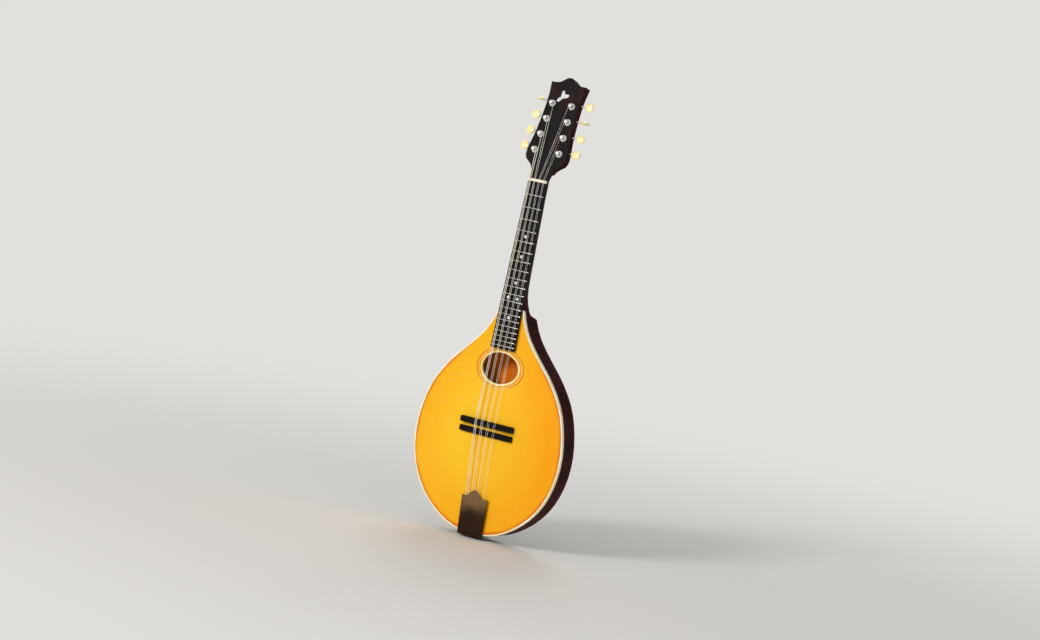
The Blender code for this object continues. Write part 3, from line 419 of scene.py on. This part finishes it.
def wound_look(name, colour, pitch):
    """A string's wire, with the turns of its winding."""
    look = Look(name, colour, 0.4, Metallic=0.2)
    turns = look.math("SINE", look.math("MULTIPLY", look.axes()[2], 2 * pi / pitch))
    worn = look.range(look.noise((80, 80, 80), 3.0), 0.4, 0.7)
    look.colour(look.mix(worn, colour, tuple(0.8 * c for c in colour)))
    return look.bump(turns, pitch * 0.25, 0.35).material


def floor_look():
    """A matt pale floor near the part that fades into the plain background further out."""
    look = Look("pale_floor", PALE, 0.9)
    x, y, _ = look.axes()
    away = look.math("SQRT", look.math("ADD", look.math("POWER", x, 2.0), look.math("POWER", y, 2.0)))
    rays = look.node("LightPath").outputs
    seen = look.math(
        "MAXIMUM", rays["Is Camera Ray"],
        look.math("MAXIMUM", rays["Is Glossy Ray"], rays["Is Transmission Ray"]),
    )
    share = look.math("MULTIPLY", look.range(away, 0.35, 1.9), seen)
    glow = look.node("Emission", (*PALE, 1), 1.0)
    blend = look.node("MixShader", share, look.surface.outputs[0], glow.outputs[0])
    look.give(look.tree.nodes["Material Output"].inputs["Surface"], blend.outputs[0])
    return look.material


SPRUCE = spruce_look()
RIB_WOOD = dark_wood_look("rib_wood", (900, 60, 900), (75, 7, 75))
BACK_WOOD = dark_wood_look("back_wood", (900, 900, 50), (11, 30, 80))
NECK_WOOD = dark_wood_look("neck_wood", (900, 900, 36), (60, 60, 20))
# Inside the body, one bare wood in two tones: the back's inner face is a bright orange as painted light,
# where light falls through the sound hole; the ribs, top underside, blocks, braces and linings are a dark
# brown as painted shade.
INSIDE_WOOD_PAINTED_SHADE = bare_wood_look("inside_wood_painted_shade", srgb(92, 42, 24), srgb(76, 34, 18), srgb(46, 18, 10))
BACK_INSIDE_PAINTED_LIGHT = bare_wood_look("back_inside_painted_light", srgb(255, 142, 26), srgb(250, 122, 18), srgb(200, 76, 12))
BOARD_EBONY = ebony_look("fingerboard_ebony", (1500, 1500, 22), 0.42, srgb(50, 44, 40))
HEAD_EBONY = ebony_look("head_ebony", (1200, 1200, 26), 0.42, srgb(66, 22, 16), 0.5)
BAR_EBONY = ebony_look("bridge_ebony", (30, 1400, 1400), 0.36)
PIN_EBONY = ebony_look("pin_ebony", (1100, 1100, 60), 0.3)
BINDING = binding_look("cream_binding", srgb(255, 248, 220), srgb(246, 228, 172))
HOLE_BINDING = binding_look("yellowed_binding", srgb(255, 240, 188), srgb(250, 216, 128))
ROSETTE = binding_look("rosette_strip", srgb(255, 224, 120), srgb(250, 200, 84))
IVOROID = ivoroid_look("ivoroid", srgb(255, 244, 186), srgb(255, 234, 160), srgb(242, 210, 130))
BONE = ivoroid_look("bone", srgb(252, 246, 226), srgb(246, 234, 204), srgb(222, 200, 156))
PEARL = pearl_look()
PLAIN_STRING = wound_look("plain_string", srgb(250, 248, 242), 0.004)
WOUND_STRING = wound_look("wound_string", srgb(250, 244, 228), 0.0005)
NICKEL = metal_look("nickel", srgb(248, 247, 244), srgb(222, 219, 212), 0.27, (240, 240, 240), metallic=0.5)
PLATE_NICKEL = metal_look("plate_nickel", srgb(214, 210, 202), srgb(150, 142, 128), 0.3, (90, 90, 60))
FRET_METAL = metal_look("fret_metal", srgb(226, 224, 214), srgb(190, 184, 168), 0.26, (200, 200, 200))
COVER_PLATE = cover_look()
NODE_LOOKS = {
    "top_plate": SPRUCE, "back_plate": BACK_WOOD, "rib_": RIB_WOOD, "neck": NECK_WOOD,
    "neck_block": INSIDE_WOOD_PAINTED_SHADE, "tail_block": INSIDE_WOOD_PAINTED_SHADE, "cross_brace": INSIDE_WOOD_PAINTED_SHADE, "lining_": INSIDE_WOOD_PAINTED_SHADE,
    "fingerboard": BOARD_EBONY, "head_veneer": HEAD_EBONY, "bridge_": BAR_EBONY, "end_pin": PIN_EBONY,
    "top_binding": BINDING, "soundhole_binding": HOLE_BINDING, "rosette_ring": ROSETTE, "nut": BONE,
    "button_": IVOROID, "head_inlay": PEARL, "string_g": WOUND_STRING, "string_d": WOUND_STRING,
    "string_a": PLAIN_STRING, "string_e": PLAIN_STRING, "tailpiece_base": PLATE_NICKEL,
    "tailpiece_cover": COVER_PLATE, "tuner_plate_": PLATE_NICKEL, "post_": NICKEL,
    "worm_shaft_": NICKEL,
}


def faces_inside(name, face):
    """Whether a face of a plate or a rib looks into the body."""
    if name == "top_plate":
        return face.normal.y > 0.5
    if name == "back_plate":
        return face.normal.y < -0.5
    towards = Vector((-face.center.x, 0, CENTRE_Z - face.center.z)).normalized()
    return face.normal.dot(towards) > 0.4


def dress_nodes():
    """Gives every CAD node its material, with bare wood on the faces inside the body: the back's inner face
    brightened as painted light, the other inner faces darkened as painted shade.
    """
    for name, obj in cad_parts.items():
        key = max((k for k in NODE_LOOKS if name.startswith(k)), key=len)
        obj.data.materials.clear()
        obj.data.materials.append(NODE_LOOKS[key])
        if name in ("top_plate", "back_plate", "rib_bass", "rib_treble"):
            obj.data.materials.append(BACK_INSIDE_PAINTED_LIGHT if name == "back_plate" else INSIDE_WOOD_PAINTED_SHADE)
            for face in obj.data.polygons:
                face.material_index = int(faces_inside(name, face))


def smooth_nodes():
    """Shades the CAD nodes smooth, apart from their sharp edges."""
    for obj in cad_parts.values():
        obj.data.shade_smooth()
        weld = obj.modifiers.new("weld", "WELD")
        weld.merge_threshold = 0.000001
        split = obj.modifiers.new("sharp_edges", "EDGE_SPLIT")
        split.split_angle = radians(34)
        obj.modifiers.new("even_shading", "WEIGHTED_NORMAL")


# Meshes

def piece(name, build, look, body):
    """Makes a mesh piece that moves with a body of the part."""
    bmesh.ops.recalc_face_normals(build, faces=build.faces)
    mesh = bpy.data.meshes.new(name)
    build.to_mesh(mesh)
    build.free()
    mesh.shade_smooth()
    mesh.materials.append(look)
    obj = bpy.data.objects.new(name, mesh)
    bpy.context.scene.collection.objects.link(obj)
    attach(obj, body)
    return obj


def skin(build, rings, frame_matrix=None):
    """Skins a closed form through rings of equally many points, with a cap at each end."""
    at = frame_matrix or Matrix.Identity(4)
    rows = [[build.verts.new(at @ Vector(point)) for point in ring] for ring in rings]
    for low, high in zip(rows, rows[1:]):
        for i in range(len(low)):
            build.faces.new((low[i - 1], low[i], high[i], high[i - 1]))
    build.faces.new(rows[0][::-1])
    build.faces.new(rows[-1])


def turned(build, profile, matrix, steps=40):
    """A closed turned form about its own Z, from (radius, height) points that run round its section."""
    rows = [
        [build.verts.new(matrix @ Vector((r * across, r * up, h))) for r, h in profile]
        for across, up in bearings(steps)
    ]
    for k in range(steps):
        low, high = rows[k - 1], rows[k]
        for i in range(len(profile)):
            build.faces.new((low[i - 1], low[i], high[i], high[i - 1]))


def tube(build, points, radius, sides=10):
    """A round tube along a line of points, with flat ends."""
    points = [Vector(point) for point in points]
    count = len(points)
    side = None
    rings = []
    for i, point in enumerate(points):
        along = (points[min(i + 1, count - 1)] - points[max(i - 1, 0)]).normalized()
        if side is None:
            side = along.orthogonal().normalized()
        side = (side - side.dot(along) * along).normalized()
        up = along.cross(side)
        rings.append([point + radius * (c * side + s * up) for c, s in bearings(sides)])
    skin(build, rings)


def screw_head(build, matrix, radius, height, slot=0.16):
    """A domed screw head with a straight slot, standing along its own Z."""
    floor = 0.35 * height
    inner = 0.98 * radius
    edge = slot * radius
    steps = 12
    for sign in (-1, 1):
        outline = []
        for k in range(steps + 1):
            angle = pi * k / steps
            outline.append((radius * cos(angle), sign * max(edge, radius * sin(angle))))
        rings = [
            [(x * share, sign * max(edge, sign * y * share), lift) for x, y in outline]
            for share, lift in ((1, 0), (1, 0.3 * height), (0.86, 0.72 * height), (0.5, height))
        ]
        skin(build, rings, matrix)
    skin(build, [[(inner * c, inner * s, h) for c, s in bearings(24)] for h in (0, floor)], matrix)


def build_frets():
    """Twenty crowned frets with bevelled ends."""
    build = bmesh.new()
    ends = ((-1, 0.25), (-0.985, 0.85), (-0.965, 1.0), (0.965, 1.0), (0.985, 0.85), (1, 0.25))
    arc = [(cos(pi * k / 8), sin(pi * k / 8)) for k in range(9)]
    for number in range(1, FRETS + 1):
        z = fret_z(number)
        half = board_half(z) - 0.0001
        foot = board_y(z) + FRET_SUNK
        high = FRET_CROWN + FRET_SUNK
        skin(build, [
            [(share * half, foot - high * rise * up, z - FRET_HALF_WIDE * along) for along, up in arc]
            for share, rise in ends
        ])
    piece("frets", build, FRET_METAL, ROOT)


def build_dots():
    """Pearl position dots let into the fingerboard between frets."""
    build = bmesh.new()
    for number, count in DOT_FRETS.items():
        z = (fret_z(number) + fret_z(number - 1)) / 2
        for k in range(count):
            x = (k - (count - 1) / 2) * DOT_PAIR
            turn = Matrix.Translation((x, board_y(z), z)) @ Matrix.Rotation(pi / 2 - BOARD_TILT, 4, "X")
            rings = [
                [(r * c, r * s, h) for c, s in bearings(28)]
                for r, h in ((DOT_R, -0.0005), (DOT_R, 0.00004), (DOT_R - 0.0003, 0.00009))
            ]
            skin(build, rings, turn)
    piece("position_dots", build, PEARL, ROOT)


def notched(half_x, stations, section, strings, depth):
    """Rings along X of a strip whose crown dips under each string."""
    rings = []
    for k in range(stations + 1):
        x = half_x * (2 * k / stations - 1)
        dip = max(depth * max(0.0, 1 - ((x - at) / (radius + 0.00025)) ** 2) for at, radius in strings)
        rings.append([(x, y + (dip if crown else 0), z) for y, z, crown in section])
    return rings


def build_nut():
    """The nut with its eight slots and a rounded crown."""
    build = bmesh.new()
    foot = board_y(NUT_Z) + BOARD_THICK
    low, high = NUT_Z, NUT_Z + NUT_LONG
    top = STRING_NUT_Y - 0.0001
    section = [
        (foot, low, False), (top + 0.0006, low, False), (top, low + 0.0004, True), (top, low + 0.0018, True),
        (top + 0.0005, high - 0.0008, True), (top + 0.0013, high, False), (foot, high, False),
    ]
    skin(build, notched(NUT_HALF, 240, section, string_xs(COURSE_NUT, PAIR_NUT), 0.0005))
    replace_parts(piece("nut_slotted", build, BONE, ROOT), "nut")


def build_saddle():
    """The notched ridge along the front bar that the strings bear on."""
    build = bmesh.new()
    top = STRING_BRIDGE_Y + 0.0001
    foot = BAR_TOP_Y + 0.0006
    slope = [(foot, 2, False), (top + 0.0003, 1, True), (top, 0.4, True)]
    section = [(y, BRIDGE_Z - share * SADDLE_HALF, crown) for y, share, crown in slope]
    section += [(y, BRIDGE_Z + share * SADDLE_HALF, crown) for y, share, crown in slope[::-1]]
    skin(build, notched(SADDLE_REACH, 300, section, string_xs(COURSE_BRIDGE, PAIR_BRIDGE), 0.0004))
    piece("bridge_saddle", build, BAR_EBONY, ROOT)


def on_head(x, w, v):
    """A frame on the head whose Z points out of the head's face."""
    return HEAD_FRAME @ Matrix.Translation((x, w, v)) @ Matrix.Rotation(pi / 2, 4, "X")


def build_ferrules():
    """A pressed ferrule round each string post."""
    build = bmesh.new()
    inner = POST_R + 0.0002
    profile = [
        (inner, -0.0008), (0.0036, -0.0008), (0.0036, 0.0), (0.0050, 0.0), (0.0050, 0.0004), (0.0046, 0.0009),
        (0.0040, 0.0012), (0.0034, 0.0013), (inner, 0.0010),
    ]
    for _, sign, index in tuners():
        turned(build, profile, on_head(sign * tuner_x(index), 0, post_v(index)))
    piece("post_ferrules", build, NICKEL, ROOT)


def build_windings():
    """The turns of string on each post: the thick strings on the bass posts, the thin on the treble ones."""
    for label, sign, index in tuners():
        course = POST_COURSES["bass" if sign < 0 else "treble"][index]
        radius = STRING_RADII[course]
        pitch = 2.3 * radius
        turns = min(TURNS_MOST, (TURNS_ROOM - radius) / pitch)
        steps = int(turns * 24)
        reach = POST_R + radius
        points = []
        for k in range(steps + 1):
            angle = 2 * pi * turns * k / steps
            x = sign * (tuner_x(index) - reach * cos(angle))
            w = TURNS_TOP_W + pitch * turns * k / steps
            points.append(HEAD_FRAME @ Vector((x, w, post_v(index) + reach * sin(angle))))
        build = bmesh.new()
        tube(build, points, radius, 8)
        look = WOUND_STRING if course < 2 else PLAIN_STRING
        piece(f"winding_{label}", build, look, f"post_{label}")


def build_post_caps():
    """The slotted cap on each string post."""
    for label, sign, index in tuners():
        build = bmesh.new()
        at = on_head(sign * tuner_x(index), -POST_PROUD, post_v(index))
        screw_head(build, at @ Matrix.Rotation(0.7 * index + 0.4, 4, "Z"), 0.0024, 0.0007, 0.2)
        piece(f"post_cap_{label}", build, NICKEL, f"post_{label}")


def button_frame(sign, index):
    """A frame at a button's centre, square to the head."""
    v = post_v(index) + WORM_AHEAD
    return HEAD_FRAME @ Matrix.Translation((sign * button_x(index), WORM_W, v))


def button_ring(share):
    """A button's outline at a share of its length, from the shaft to its end."""
    reach = BUTTON_WIDEST if share < BUTTON_WIDEST else 1 - BUTTON_WIDEST
    swell = max(0.0, 1 - abs((share - BUTTON_WIDEST) / reach) ** 2.5) ** 0.5
    wide = BUTTON_HALF_WIDE * max(swell, 0.34 if share < 0.5 else 0.02)
    thick = BUTTON_HALF_THICK * (0.72 + 0.28 * sin(pi * share))
    if share >= 0.6:
        thick *= max(0.02, swell) ** 0.5
    return [(BUTTON_LONG * (share - 0.5), thick * s, wide * c) for c, s in bearings(BUTTON_SIDES)]


def build_buttons():
    """The tuners' grips: flattened ovals that swell from a narrow neck, with softly rounded rims."""
    rings = [button_ring((1 - cos(pi * k / BUTTON_RINGS)) / 2) for k in range(BUTTON_RINGS + 1)]
    for label, sign, index in tuners():
        outward = Matrix.Rotation(pi if sign < 0 else 0, 4, "Z")
        turn = Matrix.Rotation(pi / 2 if label in EDGE_ON else 0.0, 4, "X")
        build = bmesh.new()
        skin(build, rings, button_frame(sign, index) @ outward @ turn)
        made = piece(f"grip_{label}", build, IVOROID, f"tuner_{label}")
        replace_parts(made, f"button_{label}")


def build_button_screws():
    """A small screw in the end of each button, and the collar where its shaft goes in."""
    collar = [(0.0013, -0.0013), (0.0023, -0.0011), (0.0023, -0.0003), (0.0019, 0.0002), (0.0013, 0.0002)]
    for label, sign, index in tuners():
        build = bmesh.new()
        out = button_frame(sign, index) @ Matrix.Rotation(sign * pi / 2, 4, "Y")
        end = out @ Matrix.Translation((0, 0, BUTTON_LONG / 2 - 0.0001))
        screw_head(build, end @ Matrix.Rotation(0.9 * index, 4, "Z"), 0.0013, 0.0007, 0.18)
        turned(build, collar, out @ Matrix.Translation((0, 0, -BUTTON_LONG / 2)), 24)
        piece(f"button_screw_{label}", build, NICKEL, f"tuner_{label}")


def build_plate_screws():
    """The screws that hold the two tuner plates to the head's back, between the tuners and at the ends."""
    build = bmesh.new()
    last = TUNERS - 1
    between = [post_v(index) + 0.0150 for index in range(last)]
    places = [post_v(0) - 0.0118, *between, post_v(last) + 0.0125]
    for sign in SIDES.values():
        for number, v in enumerate(places):
            along = (v - post_v(0)) / (post_v(last) - post_v(0))
            x = sign * (tuner_x(0) + (tuner_x(last) - tuner_x(0)) * along)
            at = HEAD_FRAME @ Matrix.Translation((x, PLATE_FACE_W, v)) @ Matrix.Rotation(-pi / 2, 4, "X")
            screw_head(build, at @ Matrix.Rotation(1.1 * number + sign, 4, "Z"), 0.0021, 0.0010)
    piece("plate_screws", build, NICKEL, ROOT)


def build_string_loops():
    """The loop of each string round its hook, under the tailpiece's cover."""
    base_y = BASE_TAIL_Y + (BASE_HEAD_Y - BASE_TAIL_Y) / BASE_LONG * HOOK_Z
    y = base_y - 0.0012
    steps = 20
    build = bmesh.new()
    for x, radius in string_xs(COURSE_HOOK, PAIR_HOOK):
        reach = HOOK_R + radius + 0.0001
        turn = [2 * pi * k / steps for k in range(steps + 1)]
        points = [
            (x + reach * sin(angle), y - 0.0006 * k / steps, HOOK_Z + reach * cos(angle))
            for k, angle in enumerate(turn)
        ]
        tube(build, points, radius, 8)
    piece("string_loops", build, PLAIN_STRING, ROOT)


def build_stage():
    """The floor, which isn't part of the mandolin."""
    build = bmesh.new()
    corners = [(FLOOR_RADIUS * c, FLOOR_RADIUS * s, FLOOR_Z) for c, s in bearings(64)]
    build.faces.new([build.verts.new(corner) for corner in corners])
    mesh = bpy.data.meshes.new("floor")
    build.to_mesh(mesh)
    build.free()
    mesh.materials.append(floor_look())
    floor = bpy.data.objects.new("floor", mesh)
    bpy.context.scene.collection.objects.link(floor)


def view_axes():
    """The view's right, up and backward directions, with its roll."""
    a, e, r = VIEW_AZIMUTH, VIEW_ELEVATION, VIEW_ROLL
    back = Vector((sin(a) * cos(e), -cos(a) * cos(e), sin(e)))
    level = Vector((cos(a), sin(a), 0))
    upright = back.cross(level)
    return cos(r) * level + sin(r) * upright, cos(r) * upright - sin(r) * level, back


def build_camera():
    """The camera, fitted to the photo's outline of the mandolin."""
    right, up, back = view_axes()
    camera = bpy.data.objects.new("camera", bpy.data.cameras.new("camera"))
    camera.data.lens = LENS
    camera.data.shift_x, camera.data.shift_y = SHIFT
    turn = Matrix((right, up, back)).transposed().to_4x4()
    camera.matrix_world = Matrix.Translation(VIEW_TARGET + VIEW_DISTANCE * back) @ turn
    camera.data.clip_end = 200
    bpy.context.scene.collection.objects.link(camera)
    bpy.context.scene.camera = camera


def softbox(name, place, size, energy, colour=(1, 1, 1)):
    """A square area light aimed at the mandolin's middle."""
    light = bpy.data.lights.new(name, "AREA")
    light.size = size
    light.energy = energy
    light.color = colour
    lamp = bpy.data.objects.new(name, light)
    lamp.location = place
    lamp.rotation_euler = (VIEW_TARGET - Vector(place)).to_track_quat("-Z", "Y").to_euler()
    bpy.context.scene.collection.objects.link(lamp)


def build_light():
    """A large soft key from the upper left, a weaker fill from the right, and a pale surround."""
    softbox("key", (-0.9, -3.9, 2.0), 1.0, 104, (1.0, 0.98, 0.95))
    softbox("fill", (2.6, -2.0, 1.4), 1.8, 5)
    softbox("back", (-1.4, 2.6, 2.6), 1.8, 36)
    world = bpy.data.worlds.new("surround")
    bpy.context.scene.world = world
    world.use_nodes = True
    tree = world.node_tree
    rays = tree.nodes.new("ShaderNodeLightPath")
    plain = tree.nodes["Background"]
    plain.inputs["Color"].default_value = (1, 1, 1, 1)
    plain.inputs["Strength"].default_value = 0.42
    shown = tree.nodes.new("ShaderNodeBackground")
    shown.inputs["Color"].default_value = (*PALE, 1)
    shown.inputs["Strength"].default_value = 1.0
    blend = tree.nodes.new("ShaderNodeMixShader")
    tree.links.new(rays.outputs["Is Camera Ray"], blend.inputs["Fac"])
    tree.links.new(plain.outputs[0], blend.inputs[1])
    tree.links.new(shown.outputs[0], blend.inputs[2])
    tree.links.new(blend.outputs[0], tree.nodes["World Output"].inputs["Surface"])
    bpy.context.scene.view_settings.view_transform = "Standard"


dress_nodes()
smooth_nodes()
build_frets()
build_dots()
build_nut()
build_saddle()
build_ferrules()
build_windings()
build_post_caps()
build_buttons()
build_button_screws()
build_plate_screws()
build_string_loops()
build_stage()
build_camera()
build_light()
